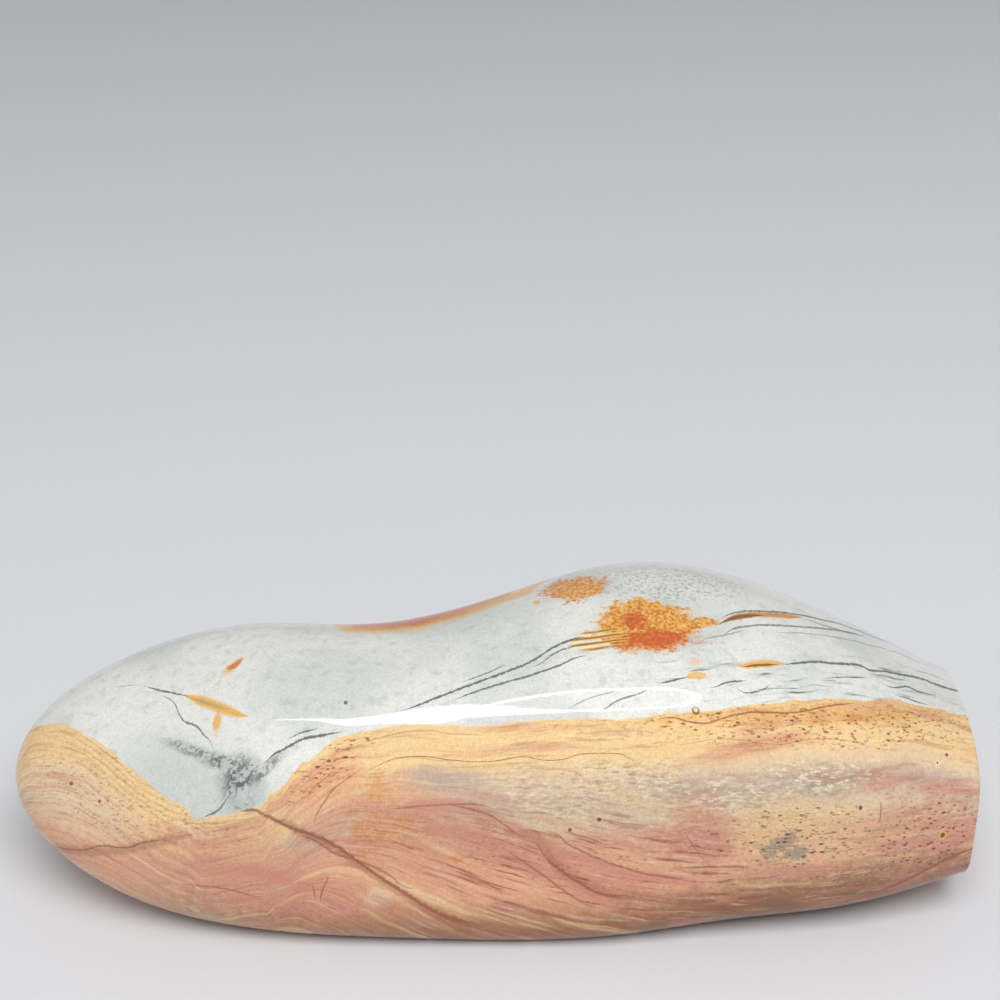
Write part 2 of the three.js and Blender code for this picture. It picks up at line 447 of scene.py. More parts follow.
# Seams that run along the stone. Each row holds a tone, a strength and seams that follow
# each other; a seam is its half width and the places (along, level) that it passes.
ROWS = (
    ("brown", 0.45, (
        # Broad soft line along the lower left rim: a painted reflection of a ruler's dark edge
        (1.5, ((-90, -2.2), (-79, -2.3), (-71, -1.8), (-63, 0), (-57, 1.4))),
        (1.5, ((-42, 4), (-35, 1.2), (-29.7, -1.4), (-24.1, -5.5), (-16, -11.2), (-7.5, -15.8),
         (0, -16.6))),
        (2.2, ((5, 2), (13.6, -5.9), (21.6, -10.2), (32, -11.4), (44, -12.4))),
        # Broad soft line along the lower right rim: a painted reflection of a ruler's dark edge
        (2.6, ((44, -17.8), (64.8, -16.6), (82.3, -10.7), (97, -4.4))))),
    ("pink", 0.6, (
        (2, ((-60, -4.6), (-48, -5.4), (-36, -9), (-24, -13))),
        (1.8, ((-18, 6.4), (-8, 7), (2, 4), (12, -1.6), (24, -5.6), (40, -8.4))))),
    ("pink", 0.5, (
        (1.5, ((-52, -11.5), (-40, -12.6), (-28, -14.6))),
        (2, ((-14, 2.6), (-4, 1.8), (4, -3), (14, -8.4), (24, -12.4))))),
    ("seam", 0.9, (
        (0.3, ((-70, 30), (-66.5, 29), (-63.6, 28.4), (-60, 27.5))),
        (0.42, ((-43.8, 14.6), (-41.5, 16.4), (-39.5, 17.4), (-37.4, 18.7), (-35.2, 19.6), (-32, 20.2),
         (-28, 20.9))),
        (0.34, ((-17.5, 24.6), (-13.5, 26), (-9, 27.9), (-5, 29.4), (-0.5, 31), (4, 32.7), (8.2, 34.7),
         (12.8, 37.4), (18.8, 39.2))),
        (0.3, ((31.6, 29.9), (34.6, 30.4), (37.6, 31))),
        (0.24, ((41.6, 29.2), (45.3, 30.2), (49, 30.5))),
        (0.36, ((56.5, 33.6), (59.6, 34), (63.5, 34.3), (70.6, 34.1), (73.7, 33.9), (76, 32.9),
         (79.7, 32.8), (83.8, 32.1), (88.3, 31.3), (91.2, 30.3), (99, 28.4))))),
    ("seam", 0.85, (
        (0.32, ((-66.3, 28.1), (-64.4, 27.3), (-62.7, 26), (-61.7, 24.4), (-59.8, 22.6), (-57.8, 22),
         (-55.7, 20.2), (-54.1, 18.9), (-52.9, 17))),
        (0.24, ((-38.8, 19.5), (-36.2, 20.6), (-32.8, 21.5))),
        (0.32, ((-7.4, 26.7), (-4.9, 27.7), (-0.5, 29.2), (4, 30.6), (8.2, 31.8), (12.6, 33.3),
         (18.6, 35.3))),
        (0.26, ((46.8, 29), (48.6, 28), (51.9, 28.7), (54, 29.9))),
        (0.2, ((64.6, 31), (71.4, 31.5), (75, 31.3))),
        (0.3, ((77.6, 30.3), (80.2, 29.5), (82.9, 29.8), (85.4, 28.8), (89.8, 27.8))))),
    ("seam", 0.8, (
        (0.34, ((-54.9, 4.4), (-51.9, 5.9), (-50.2, 8.2), (-48.8, 9.6))),
        (0.2, ((-6, 30.2), (-3.2, 31.2), (-0.5, 32.1), (3.4, 33.5))),
        (0.18, ((7, 33.2), (12, 35.6), (15.5, 37))),
        (0.26, ((20, 24.8), (24, 26.6), (30.5, 29))),
        (0.3, ((44.7, 42.6), (47.1, 43.9), (52.2, 44.9), (57, 44.9), (62.2, 44.6), (67.4, 43.8),
         (72.9, 42.8), (78, 41.3), (86, 38.8))))),
    ("seam", 0.75, (
        (0.18, ((9.5, 34.6), (13, 36.2), (18.4, 37.7))),
        (0.28, ((44.6, 39.3), (48.1, 41), (51.5, 41.6), (56.3, 41.9), (61.4, 41.8), (66.7, 41.6),
         (72.2, 41.2), (78.5, 39.8))),
        (0.26, ((79.5, 28.4), (83.1, 27.2), (87.2, 25.9))))),
    ("seam", 0.6, (
        (0.2, ((13.5, 24.6), (18.5, 27), (24.5, 28.8))),
        (0.2, ((41, 38.6), (46, 39.6), (50.4, 40.7))),
        (0.22, ((63, 43.6), (66.5, 42.8), (70.1, 41.8), (77.5, 40))),
        (0.16, ((81, 37.9), (85, 36.8), (90, 34.6))))),
    ("seam", 0.5, (
        (0.1, ((-77, 29.6), (-74, 30), (-71, 30.2))),
        (0.18, ((56, 40.4), (66, 40.2), (77, 38.6), (84, 36.9))),
        (0.16, ((86, 33.5), (90, 32.6), (95, 30.9))))),
    ("brown", 0.8, (
        # Line along the lower left rim: a painted reflection of a ruler's dark edge
        (0.22, ((-88, -1.7), (-83, -2.2), (-79.2, -2.1), (-76, -1.2), (-71.3, -1.5), (-66.7, -0.4),
         (-61, 0.8))),
        (0.6, ((-48, 5.6), (-45.3, 6.1), (-43.1, 5), (-41.4, 4.3), (-38, 2.5), (-35, 1.6), (-32, 0.4),
         (-29.7, -0.8), (-27.4, -2.4), (-24.1, -5.1), (-19.8, -8.3), (-16, -10.9), (-11.6, -13.7),
         (-7.5, -15.5), (-3, -16.2))),
        (0.46, ((7.4, 0), (10.5, -3.4), (13.6, -5.9), (17.1, -8.3), (21.6, -10.5), (27, -11))),
        # Line along the lower right rim: a painted reflection of a ruler's dark edge
        (0.5, ((56, -15.6), (64.8, -14), (73.4, -11.5), (82.3, -7.9), (88.9, -4.4), (96, -1.6))))),
    ("brown", 0.6, (
        (0.24, ((-60, -8.6), (-52, -9.4), (-44, -11))),
        (0.44, ((-37, 1), (-29.4, -2.6), (-24.6, -4), (-20, -6.4), (-15, -9.4))),
        (0.34, ((-8, 7), (-4.8, 6.4), (-0.4, 5.1), (3, 2.9), (7.4, 0.6))),
        (0.36, ((10, 2), (15.2, -1), (20.4, -3.4), (25.7, -5.2), (30.2, -6.5), (38, -7.8))))),
    ("brown", 0.6, (
        (0.26, ((-20, 6.2), (-11.6, 6.9), (-4.8, 7.2), (0.6, 6.2))),
        (0.42, ((2.6, -1.2), (6.4, -4.2), (9.9, -6.5), (14, -9.9), (20, -13))),
        (0.26, ((24, -13.4), (34, -13.8), (44, -13.6), (54, -12.4))))),
    ("rust", 0.75, (
        (0.13, ((-24, 13.1), (-21.5, 14.4), (-19.7, 15.2), (-16.3, 16), (-13, 16.1), (-6.4, 15.4),
         (-2.5, 15.2), (1.3, 15.4), (6, 16.1), (10.7, 15.4), (13.7, 15.6), (16.7, 16.7), (21, 16.9),
         (24.3, 16.7), (28, 15))),
        (0.26, ((31, 23), (34.3, 23.3), (36.9, 22.7), (40.3, 22.3), (43.4, 23.1), (46.5, 23.9),
         (50.1, 24.4), (53.6, 24.4), (57.4, 24.3), (60.6, 24.8), (64.4, 25.6), (71, 26.3))))),
    ("rust", 0.45, (
        (0.12, ((-27, 17.4), (-21, 19.6), (-12, 21), (-8, 20.4), (-1, 20.3))),
        (0.12, ((34, 18.4), (44, 19.4), (54, 18.4), (62, 19.5), (72, 18.6))))),
)

# Seams that run up the stone: the places are (level, along)
COLUMNS = (
    ("rust", 0.7, (
        (0.24, ((-12.4, -33.2), (-9.6, -32.6), (-6.4, -31.4))),
        (0.24, ((3, -33.6), (5.8, -32.8), (7.9, -31.4), (10, -29.7), (12, -27), (14.5, -23.6))))),
    ("rust", 0.55, (
        (0.24, ((-11.6, -34), (-9.8, -34.3), (-8.2, -34.7))),
        (0.16, ((-7, 44), (-3.4, 40.6), (2.8, 36.8))),
        (0.26, ((3.2, 74), (5.4, 74.6), (8, 74.2))),
        (0.16, ((9, -34.4), (11.5, -32), (14, -28.6))))),
)

# Lenses of ochre: as rows, with a broader one laid down first
LENSES = (
    ("gold", 1, (
        (1.4, ((-61.5, 28), (-57, 26.7), (-53.6, 25.7), (-47, 23.8))),
        (2.7, ((-34, 43.2), (-29, 43), (-23, 42.9), (-18.8, 43.1), (-14.7, 43.5), (-10.6, 44.6),
         (-6.5, 45.7), (-2.4, 47.2), (1.6, 48.8), (5.8, 50.2), (12, 52.2))),
        (1, ((47.2, 33.3), (52.3, 33.8), (57.6, 34))))),
    ("olive", 0.6, (
        (0.5, ((-60, 27.4), (-56.5, 26.5), (-51, 25))),)),
    ("red", 0.95, (
        (2.5, ((-32, 43.9), (-23, 43.8), (-18.9, 44), (-14.7, 44.4), (-10.7, 45.6), (-6.6, 46.8),
         (-2.5, 48.4), (1.6, 50), (7, 52.2))),)),
    ("ochre", 0.95, (
        (0.8, ((44.4, 41.6), (47.8, 43.2), (50.4, 43.8), (56.2, 44.2), (64, 43.9))),)),
    ("umber", 0.9, (
        (0.6, ((44.7, 41.9), (47.8, 43.1), (50, 43.6), (55, 44))),)),
    ("umber", 0.9, (
        (0.34, ((48.4, 33.2), (52.5, 33.6), (56, 33.7))),)),
)

# The warm stone's broad colours, by how far below the grey stone they lie, and how far
# the last of them reaches. The darkened peach of the last stop is partly painted shade towards the
# bottom.
WARM_STOPS = (
    (7.5, "cream"), (11, "beige"), (15, "mauve"), (20, "beige"), (24, "salmon"),
    (34, "salmon"), (44, "peach"))
WARM_REACH = 45.0

# Blots: tone, strength, centre (along, depth, level), size, slope, softness, raggedness.
# From this raggedness on, a finer noise frays them.
RAGGED = 2.2

# These lie in the warm stone
WARM_BLOTS = (
    ("beige", 0.95, (-81, -36, 6.5), (12, 30, 7), -0.3, 0.5, 1.2),
    ("salmon", 0.9, (-85, -36, -2.5), (14, 30, 6), -0.35, 0.6, 1.2),
    ("beige", 0.6, (-56, -40, -1), (10, 20, 3.5), -0.1, 0.5, 1.2),
    ("salmon", 0.85, (-45, -40, -7.5), (36, 30, 9), -0.12, 0.35, 1.2),
    ("pink", 0.45, (-44, -40, -9), (22, 30, 5), -0.14, 0.6, 1.6),
    ("salmon", 0.75, (-31, -45, 8), (7, 20, 6), 0.8, 0.5, 1.4),
    ("salmon", 0.7, (-8, -42, -2), (26, 20, 9), -0.35, 0.5, 1.4),
    ("pink", 0.55, (-8, -44, 1), (15, 20, 4), -0.35, 0.6, 2),
    ("pink", 0.7, (16, -44, -5.5), (14, 20, 4), -0.45, 0.6, 1.6),
    ("salmon", 0.7, (-16, -48, 9.5), (10, 14, 3.4), -0.1, 0.6, 1.2),
    ("mauve", 0.8, (-9, -52, 12), (7, 10, 2.4), 0, 0.6, 1.2),
    ("mauve", 0.75, (-3, -52, 10), (8, 10, 2.2), -0.3, 0.6, 1.2),
    ("beige", 0.7, (15, -50, 8), (18, 14, 5.5), -0.1, 0.5, 1.6),
    ("gold", 0.35, (64, -44, 24.6), (44, 30, 2.6), 0.02, 0.7, 2),
    ("ochre", 0.35, (66, -44, 23.6), (28, 30, 1.3), 0.02, 0.8, 4.4),
    ("cream", 0.6, (58, -44, 1.2), (16, 24, 6.5), 0, 0.5, 2),
    ("pink", 0.9, (39.5, -46, 0.6), (6.5, 24, 8), 0, 0.5, 1.8),
    ("pink", 0.7, (86, -40, 1.6), (12, 26, 6.5), 0, 0.5, 1.8),
    ("salmon", 0.6, (31, -44, -7), (14, 24, 5), -0.15, 0.6, 1.6),
    # These two tan blots darken the lower near side: partly the stone's tan, partly painted shade, and
    # at the right a painted reflection of a dark table
    ("tan", 0.8, (66, -38, -13), (38, 30, 7), 0.14, 0.7, 1.6),
    ("tan", 0.5, (-8, -36, -19), (78, 30, 6), -0.04, 0.8, 1.6),
    ("olive", 0.7, (63, -49, 9.9), (4.6, 6, 1.2), 0, 0.4, 1.2),
    ("olive", 0.95, (56, -43, -0.3), (2.4, 5, 1.8), 0.4, 0.3, 3.6),
    ("olive", 0.95, (58.9, -42, -2.6), (2.7, 5, 1.4), 0.1, 0.3, 3.6),
    ("olive", 0.85, (53, -42, -2.5), (1.7, 5, 1.3), -0.4, 0.3, 3.6),
    ("ochre", 0.6, (-21.4, -51, 10), (2.2, 6, 2.6), 0, 0.9, 4.4),
    ("ochre", 0.65, (-24.2, -47, 0.6), (2.4, 6, 4.6), -0.3, 0.9, 4.4),
    ("ochre", 0.5, (-18.6, -47, 2.5), (5, 6, 3), 0, 0.9, 4.4),
    ("ochre", 0.8, (-6.2, -43, -3.4), (1.3, 3, 0.9), 0.2, 0.4, 1.8),
    ("fleck", 0.45, (-22, -39, -10.9), (2.6, 5, 2), 0, 0.6, 1.4),
    ("brown", 0.4, (2.6, -38, -12.9), (3.2, 5, 0.9), -0.05, 0.3, 0.6),
    ("red", 0.35, (62.7, -47, 23.5), (1.5, 4, 1), 0, 0.6, 2),
    ("red", 0.35, (70.1, -44, 23.5), (1.7, 4, 0.9), 0, 0.6, 2),
    ("red", 0.45, (-34.6, -44, 12), (3.4, 6, 2), 1, 0.7, 3.4),
)

# Blots in the grey stone, or over both. "granular" is the crumbly ochre.
GREY_BLOTS = (
    # A painted glint: a small pale grey spot beside the dark soot
    ("cool_grey", 0.7, (-45, -49.6, 9.4), (2.4, 6, 2.1), 0, 0.4, 3),
    ("gold", 0.95, (-53.3, -40, 22.4), (0.8, 4, 2.6), 0, 0.35, 1.4),
    ("gold", 0.8, (30.2, -39, 41.5), (9.9, 12, 6.3), 0, 0.12, 1.1),
    ("granular", 1, (30.2, -39, 41.7), (9.2, 12, 5.6), 0, 0.14, 1.5),
    ("granular", 0.95, (41.3, -37, 42.4), (4, 7, 1), 0, 0.25, 2),
    ("red", 0.8, (32, -43, 38.7), (8.6, 8, 2.3), 0.05, 0.5, 2.8),
    ("red", 0.8, (27.9, -38, 43.1), (2.3, 6, 2), 0, 0.5, 2.4),
    ("granular", 0.95, (16.9, -26, 49.9), (6.2, 12, 2.9), 0.1, 0.2, 2.3),
    ("gold", 0.9, (8.9, -28, 46.5), (0.8, 3, 0.5), 0, 0.3, 1),
    ("gold", 0.7, (-52, -30, 33.4), (1.7, 4, 1), 0.8, 0.5, 2.4),
    ("orange", 0.95, (-51.3, -30, 34), (1.3, 4, 0.8), 0.8, 0.4, 1.6),
    ("gold", 0.8, (39.3, -48, 31.3), (1.8, 4, 0.8), 0, 0.2, 3.4),
    ("gold", 0.4, (39, -46, 34.2), (1.4, 4, 0.8), 0, 0.5, 1.4),
)

# Single pits: along, level, radius, tone
PITS = (
    (38.6, 24.6, 1, "umber"), (38.6, 24.8, 0.6, "fleck"), (-82.5, 10.3, 0.5, "rust"),
    (-76.1, 7.3, 0.42, "rust"), (-28.3, 26.4, 0.5, "seam"), (20.6, 4.3, 0.5, "speck"),
    (15, 2.1, 0.5, "rust"), (87.8, 0.5, 1.1, "gold"), (87.8, 0.5, 0.65, "speck"),
    (88.5, 16.4, 0.4, "speck"), (86.1, 14.9, 0.6, "fleck"), (86.1, 14.9, 0.3, "rust"),
    (70.5, 6.4, 0.55, "speck"),
)

# Where dark specks, pale flecks and dark soot are strewn: centre, size, slope and strength
SPECK_FIELDS = (
    ((60, -45, 0.5), (16, 40, 6.5), 0, 1), ((85, -40, 1), (13, 40, 8), 0, 0.9),
    ((66, -46, 22), (40, 30, 4), 0, 0.8), ((-70, -40, 8), (22, 30, 9), -0.3, 0.4),
    ((22, -46, -6), (30, 30, 5), -0.2, 0.4), ((-30, -46, 15), (9, 30, 4), 0.7, 0.8),
)
FLECK_FIELDS = (
    ((26, -53, 11.5), (12, 20, 4.4), 0, 1), ((62, -50, 12), (11, 20, 3), 0, 1),
    ((48, -50, 8), (11, 20, 4), 0, 0.9), ((11, -51, 8), (12, 20, 5), -0.3, 0.7),
    ((56, -44, 2), (46, 30, 11), -0.05, 0.4),
)
SOOT_FIELDS = (
    ((-47.6, -49, 11.4), (4, 8, 5), 0, 1), ((-51, -48, 15), (5.6, 8, 1.6), -0.25, 0.9),
    ((-59, -45, 17.6), (7.4, 8, 1.2), -0.27, 0.75), ((-43, -49, 13.4), (3.6, 8, 1.3), 0.8, 0.8),
)

# Far side: seams by height over the ground, and blots by (along, across, height)
BACK_ROWS = (
    ("seam", 0.85, (
        (0.36, ((-74, 30), (-55, 33), (-30, 34), (-8, 39), (20, 44), (46, 43), (72, 34))),)),
    ("seam", 0.7, (
        (0.26, ((-50, 26), (-30, 27.5), (-10, 32), (6, 33))),
        (0.24, ((30, 33), (48, 34), (66, 28), (88, 24))))),
    ("brown", 0.7, (
        (0.5, ((-88, 14), (-66, 8), (-40, 5), (-14, 8))),
        (0.4, ((0, 12), (10, 10), (36, 9), (62, 6), (90, 8))))),
)
BACK_BLOTS = (
    ("granular", 0.95, (-22, 26, 32), (9, 14, 4.5), 0.2, 0.15, 2.4),
    ("red", 0.7, (-21, 26, 31), (4.5, 14, 2), 0.2, 0.3, 2),
    ("granular", 0.9, (44, 34, 34), (7, 14, 2.6), -0.2, 0.2, 2.8),
    ("seam", 0.5, (8, 34, 26), (5, 14, 3.4), 0.5, 0.4, 4),
    ("salmon", 0.8, (-60, 24, 6), (26, 22, 6), 0, 0.4, 1.6),
    ("pink", 0.7, (30, 36, 8), (24, 22, 5), 0, 0.4, 1.6),
)


class JasperPattern(Graph):
    """The stone's pattern: where a point lies in it, in millimetres, and what is laid there.

    The methods that lay something take the colour below and give it back with marks on it.
    """

    def __init__(self, tree, finish):
        super().__init__(tree)
        self.layers_group = make_layers_group()
        self.tones = {tone: getattr(finish, tone) for tone in TONES}
        own = self.add("ShaderNodeTexCoord").outputs["Object"]
        self.straight = self.scale(own, 1 / MM)
        tilted = self.add("ShaderNodeMapping", {
            "Vector": own, "Rotation": (PATTERN_TILT, 0, 0), "Scale": (1 / MM,) * 3})
        still = tilted.outputs["Vector"]
        drift = self.add("ShaderNodeTexNoise", {
            "Vector": still, "Scale": 1 / DRIFT_SIZE, "Detail": 1.5, "Roughness": 0.55})
        drift = self.vector("SUBTRACT", drift.outputs["Color"], (0.5, 0.5, 0.5))
        self.place = self.vector("ADD", still, self.scale(drift, 1.5))
        self.along, self.depth, self.level = self.split(self.place)
        gentle = self.vector("ADD", still, self.scale(drift, 0.6))
        self.calm_along, _, self.calm_level = self.split(gentle)
        _, _, self.height = self.split(self.straight)
        self.run = self.share_of(self.along, ALONG_SPAN)
        self.calm_run = self.share_of(self.calm_along, ALONG_SPAN)
        self.calm_rise = self.share_of(self.calm_level, LEVEL_SPAN)
        self.climb = self.share_of(self.height, HEIGHT_SPAN)
        self.flat = self.join(self.along, 0.0, self.level)
        self.lift = self.join(0.0, 0.0, self.along)

        self.dust = self.noise(still, 3.6, detail=1.0, roughness=0.5)
        self.fine = self.noise(still, 1.3, detail=3.0, roughness=0.65)
        self.grain = self.noise(still, 0.4, detail=3.0, roughness=0.65)
        self.cloud = self.noise(still, 0.045, detail=1.5)
        coarse = self.math("MULTIPLY", self.grain, 0.7)
        self.broken = self.math("MULTIPLY_ADD", self.fine, 0.5, coarse)
        self.near_side = self.step(self.depth, 2.0, -6.0)
        self.far_side = self.math("SUBTRACT", 1.0, self.near_side)

    def lay(self, mask, under, tone, window=None):
        """One tone where the mask says, and only in the window if there is one."""
        if window is not None:
            mask = self.math("MULTIPLY", mask, window)
        return self.blend(mask, under, self.tones[tone])

    def spot(self, centre, size, slope=0.0, softness=0.5, raggedness=1.2, strength=1.0,
             where=None, rough=None):
        """A blot with a soft or ragged edge: strength inside it and 0 outside.

        Its long way rises by slope along the stone. where and rough stand in for the
        pattern's own place and grain.
        """
        x, y, z = centre
        width, thickness, height = size
        local = self.vector(
            "MULTIPLY_ADD", where or self.place, (1 / width, 1 / thickness, 1 / height),
            (-x / width, -y / thickness, (slope * x - z) / height))
        if slope:
            local = self.vector("MULTIPLY_ADD", self.lift, (0, 0, -slope / height), local)
        reach = self.add("ShaderNodeVectorMath", {0: local}, operation="LENGTH").outputs["Value"]
        reach = self.math("MULTIPLY_ADD", rough or self.grain, raggedness, reach)
        return self.step(reach, 1.0 + softness, 1.0 - softness, strength)

    def strewn(self, fields):
        """Several fields as one mask."""
        total = None
        for centre, size, slope, strength in fields:
            mask = self.spot(centre, size, slope, raggedness=1.8, strength=strength)
            total = mask if total is None else self.math("MAXIMUM", total, mask)
        return total

    def layers(self, layer, length, thickness):
        return self.add("ShaderNodeGroup", {
            "Along": self.along, "Depth": self.depth, "Layer": layer, "Length": length,
            "Thickness": thickness}, node_tree=self.layers_group).outputs["Value"]

    def specks(self, vector, radius, part):
        """Scattered round specks. part is how many of the unit cells hold one."""
        cells = self.add("ShaderNodeTexVoronoi", {"Vector": vector, "Scale": 1.0})
        lot, size, _ = self.split(cells.outputs["Color"])
        reach = self.math("MULTIPLY", self.math("MULTIPLY_ADD", size, 0.9, 0.4), radius)
        near = self.step(cells.outputs["Distance"], reach, self.math("MULTIPLY", reach, 0.45))
        return self.math("MULTIPLY", near, self.math("LESS_THAN", lot, part))

    def lay_blots(self, under, blots, where):
        for tone, strength, centre, size, slope, softness, raggedness in blots:
            rough = self.grain if raggedness < RAGGED else self.broken
            mask = self.spot(centre, size, slope, softness, raggedness, strength, where, rough)
            under = self.lay(mask, under, tone)
        return under

    def grey_stone(self):
        """Clouded grey, with fine green-grey streaks at the right and on the crest."""
        shade = self.lay(self.step(self.cloud, -0.05, 0.16, 0.5), self.tones["grey"], "cool_grey")
        shade = self.lay(self.step(self.broken, -0.02, 0.2, 0.4), shade, "green_grey")
        valley = self.spot((-56, -46, 9), (17, 20, 9), -0.3, 0.6, 1.0, 0.8)
        shade = self.lay(valley, shade, "cool_grey")
        over_flow = self.math("SUBTRACT", self.level, self.course(self.run, GREY_FLOW))
        streaks = self.layers(over_flow, 12.0, 0.9)
        band = self.spot((72, -40, 30.3), (38, 30, 5), -0.03)
        shade = self.lay(self.step(streaks, 0.02, 0.18, 0.8), shade, "green_grey", band)
        shade = self.lay(self.step(streaks, 0.13, 0.19, 0.7), shade, "seam", band)
        crest = self.spot((36, -26, 50.5), (17, 20, 4.5))
        return self.lay(self.step(self.fine, -0.04, 0.14, 0.8), shade, "green_grey", crest)

    def below_grey(self):
        """How far a point lies below the grey stone's edge."""
        near = self.math("SUBTRACT", self.course(self.run, GREY_EDGE), self.level)
        edge = self.math("MULTIPLY_ADD", self.cloud, 16.0, self.course(self.run, BACK_EDGE))
        far = self.math("SUBTRACT", edge, self.height)
        return self.math("SMOOTH_MAX", near, far, 3.0)

    def warm_stone(self, below):
        """The warm stone's broad colours."""
        uneven = self.math("MULTIPLY_ADD", self.grain, 6.0, below)
        ramp = self.add("ShaderNodeValToRGB", {"Fac": self.math("DIVIDE", uneven, WARM_REACH)})
        elements = ramp.color_ramp.elements
        while len(elements) < len(WARM_STOPS):
            elements.new(0.5)
        for element, (reach, tone) in zip(elements, WARM_STOPS):
            element.position = reach / WARM_REACH
            element.color = (*self.tones[tone], 1.0)
        return self.lay_blots(ramp.outputs["Color"], WARM_BLOTS, self.place)

    def lay_layers(self, warm, below):
        """Layers that follow the grey edge beside it, and sink along the stone deeper down."""
        sinking = self.math("SUBTRACT", self.course(self.run, LAYER_DRIFT), self.level)
        layer = self.add(
            "ShaderNodeMix", {"Factor": self.step(below, 3.0, 30.0)}, data_type="FLOAT")
        self.feed(layer.inputs[2], below)
        self.feed(layer.inputs[3], sinking)
        broad = self.layers(layer.outputs[0], 30.0, 3.2)
        thin = self.layers(layer.outputs[0], 11.0, 0.7)
        warm = self.lay(self.step(broad, 0.0, 0.2, 0.6), warm, "pink")
        warm = self.lay(self.step(broad, -0.04, -0.2, 0.5), warm, "cream")
        streaky = self.spot((24, -42, -8), (38, 30, 10), -0.1, 0.7, strength=0.6)
        warm = self.lay(
            self.step(thin, 0.04, 0.17), warm, "brown", self.math("ADD", streaky, 0.3))
        return self.lay(self.step(thin, -0.05, -0.22, 0.36), warm, "fleck")

    def lay_nose_lines(self, warm):
        """Fine parallel lines on the nose."""
        flow = self.math("SUBTRACT", self.course(self.run, NOSE_FLOW), self.level)
        comb = self.step(self.math("PINGPONG", flow, 0.6), 0.26, 0.08)
        nose = self.spot((-70, -40, 11), (15, 24, 4), -0.62, 0.4, 1.0, 0.36)
        return self.lay(comb, warm, "olive", nose)

    def lay_specks_and_flecks(self, warm):
        drawn_out = self.vector("DIVIDE", self.place, (1.5, 1.2, 0.8))
        specks = self.specks(drawn_out, radius=0.37, part=0.75)
        speckled = self.strewn(SPECK_FIELDS)
        specks = self.math("MULTIPLY", specks, self.step(self.fine, -0.18, -0.04))
        crumbs = self.layers(self.level, 1.6, 0.55)
        flecked = self.strewn(FLECK_FIELDS)
        warm = self.lay(self.step(crumbs, 0.03, 0.12, 0.8), warm, "fleck", flecked)
        warm = self.lay(self.step(crumbs, -0.04, -0.14, 0.7), warm, "olive", flecked)
        warm = self.lay(self.step(crumbs, 0.07, 0.13, 0.7), warm, "rust", speckled)
        return self.lay(specks, warm, "speck", speckled)

    def lay_soot(self, shade):
        sooty = self.strewn(SOOT_FIELDS)
        shade = self.lay(self.math("MULTIPLY", sooty, 0.5), shade, "green_grey")
        return self.lay(self.step(self.broken, -0.05, 0.06, 0.92), shade, "seam", sooty)

    def lay_tuft(self, shade):
        """Gold and umber streaks that lead into the large crumbly patch."""
        tilted = self.math("MULTIPLY_ADD", self.calm_along, -0.12, self.calm_level)
        bars = self.math("PINGPONG", tilted, 0.6)
        tuft = self.spot((21, -42, 38.4), (5.4, 8, 2.5), 0.12, 0.25, 0.8)
        shade = self.lay(self.step(bars, 0.16, 0.3), shade, "gold", tuft)
        return self.lay(self.step(bars, 0.36, 0.5, 0.8), shade, "umber", tuft)

    def lay_rows(self, under, rows, window, run, rise, ragged):
        """Seams that run along run, at heights of rise. Both are (value, span)."""
        for tone, strength, seams in rows:
            mask = self.seams(run, rise, seams, ragged)
            under = self.lay(mask, under, tone, self.math("MULTIPLY", window, strength))
        return under

    def lay_seams(self, shade):
        run = (self.calm_run, ALONG_SPAN)
        rise = (self.calm_rise, LEVEL_SPAN)
        back_run = (self.run, ALONG_SPAN)
        climb = (self.climb, HEIGHT_SPAN)
        mild = self.math("MULTIPLY_ADD", self.fine, 1.3, 1.0)
        frayed = self.math("MULTIPLY_ADD", self.grain, 14.0, self.depth)
        front = self.step(frayed, -9.0, -14.0)
        shade = self.lay_rows(shade, LENSES, front, run, rise, mild)
        wild = self.math("MAXIMUM", self.math("MULTIPLY_ADD", self.fine, 3.0, 0.9), 0.15)
        shade = self.lay_rows(shade, ROWS, self.near_side, run, rise, wild)
        shade = self.lay_rows(shade, COLUMNS, self.near_side, rise, run, wild)
        return self.lay_rows(shade, BACK_ROWS, self.far_side, back_run, climb, wild)

    def lay_pits(self, shade):
        for along, level, radius, tone in PITS:
            off = self.add(
                "ShaderNodeVectorMath", {0: self.flat, 1: (along, 0, level)},
                operation="DISTANCE")
            mask = self.step(off.outputs["Value"], radius, radius * 0.6, 0.9)
            shade = self.lay(mask, shade, tone, self.near_side)
        return shade


def make_jasper(finish):
    """The stone's material: a pattern that runs right through it, under a high polish."""
    material = bpy.data.materials.new("Polished jasper")
    material.use_nodes = True
    shader = material.node_tree.nodes["Principled BSDF"]
    pattern = JasperPattern(material.node_tree, finish)

    grey = pattern.grey_stone()
    below = pattern.below_grey()
    warm = pattern.warm_stone(below)
    warm = pattern.lay_layers(warm, below)
    warm = pattern.lay_nose_lines(warm)
    warm = pattern.lay_specks_and_flecks(warm)
    frayed = pattern.math("MULTIPLY_ADD", pattern.broken, 2.2, below)
    shade = pattern.blend(pattern.step(frayed, -0.25, 0.3), grey, warm)

    tones = pattern.tones
    crumbs = pattern.step(pattern.fine, -0.08, 0.1)
    tones["granular"] = pattern.blend(crumbs, tones["orange"], tones["gold"])
    shade = pattern.lay_soot(shade)
    shade = pattern.lay_blots(shade, GREY_BLOTS, pattern.place)
    shade = pattern.lay_tuft(shade)
    shade = pattern.lay_blots(shade, BACK_BLOTS, pattern.straight)
    shade = pattern.lay_seams(shade)
    shade = pattern.lay_pits(shade)

    # A grain too fine to tell apart, in light and dark
    tooth = pattern.math("MULTIPLY_ADD", pattern.fine, 0.42, 1.0)
    tooth = pattern.math("MULTIPLY_ADD", pattern.dust, 0.45, tooth)
    pattern.feed(shader.inputs["Base Color"], pattern.scale(shade, tooth))
    shader.inputs["IOR"].default_value = 1.54
    polish = pattern.math("MULTIPLY_ADD", pattern.grain, 0.03, finish.polish)
    pattern.feed(shader.inputs["Roughness"], polish)
    return material


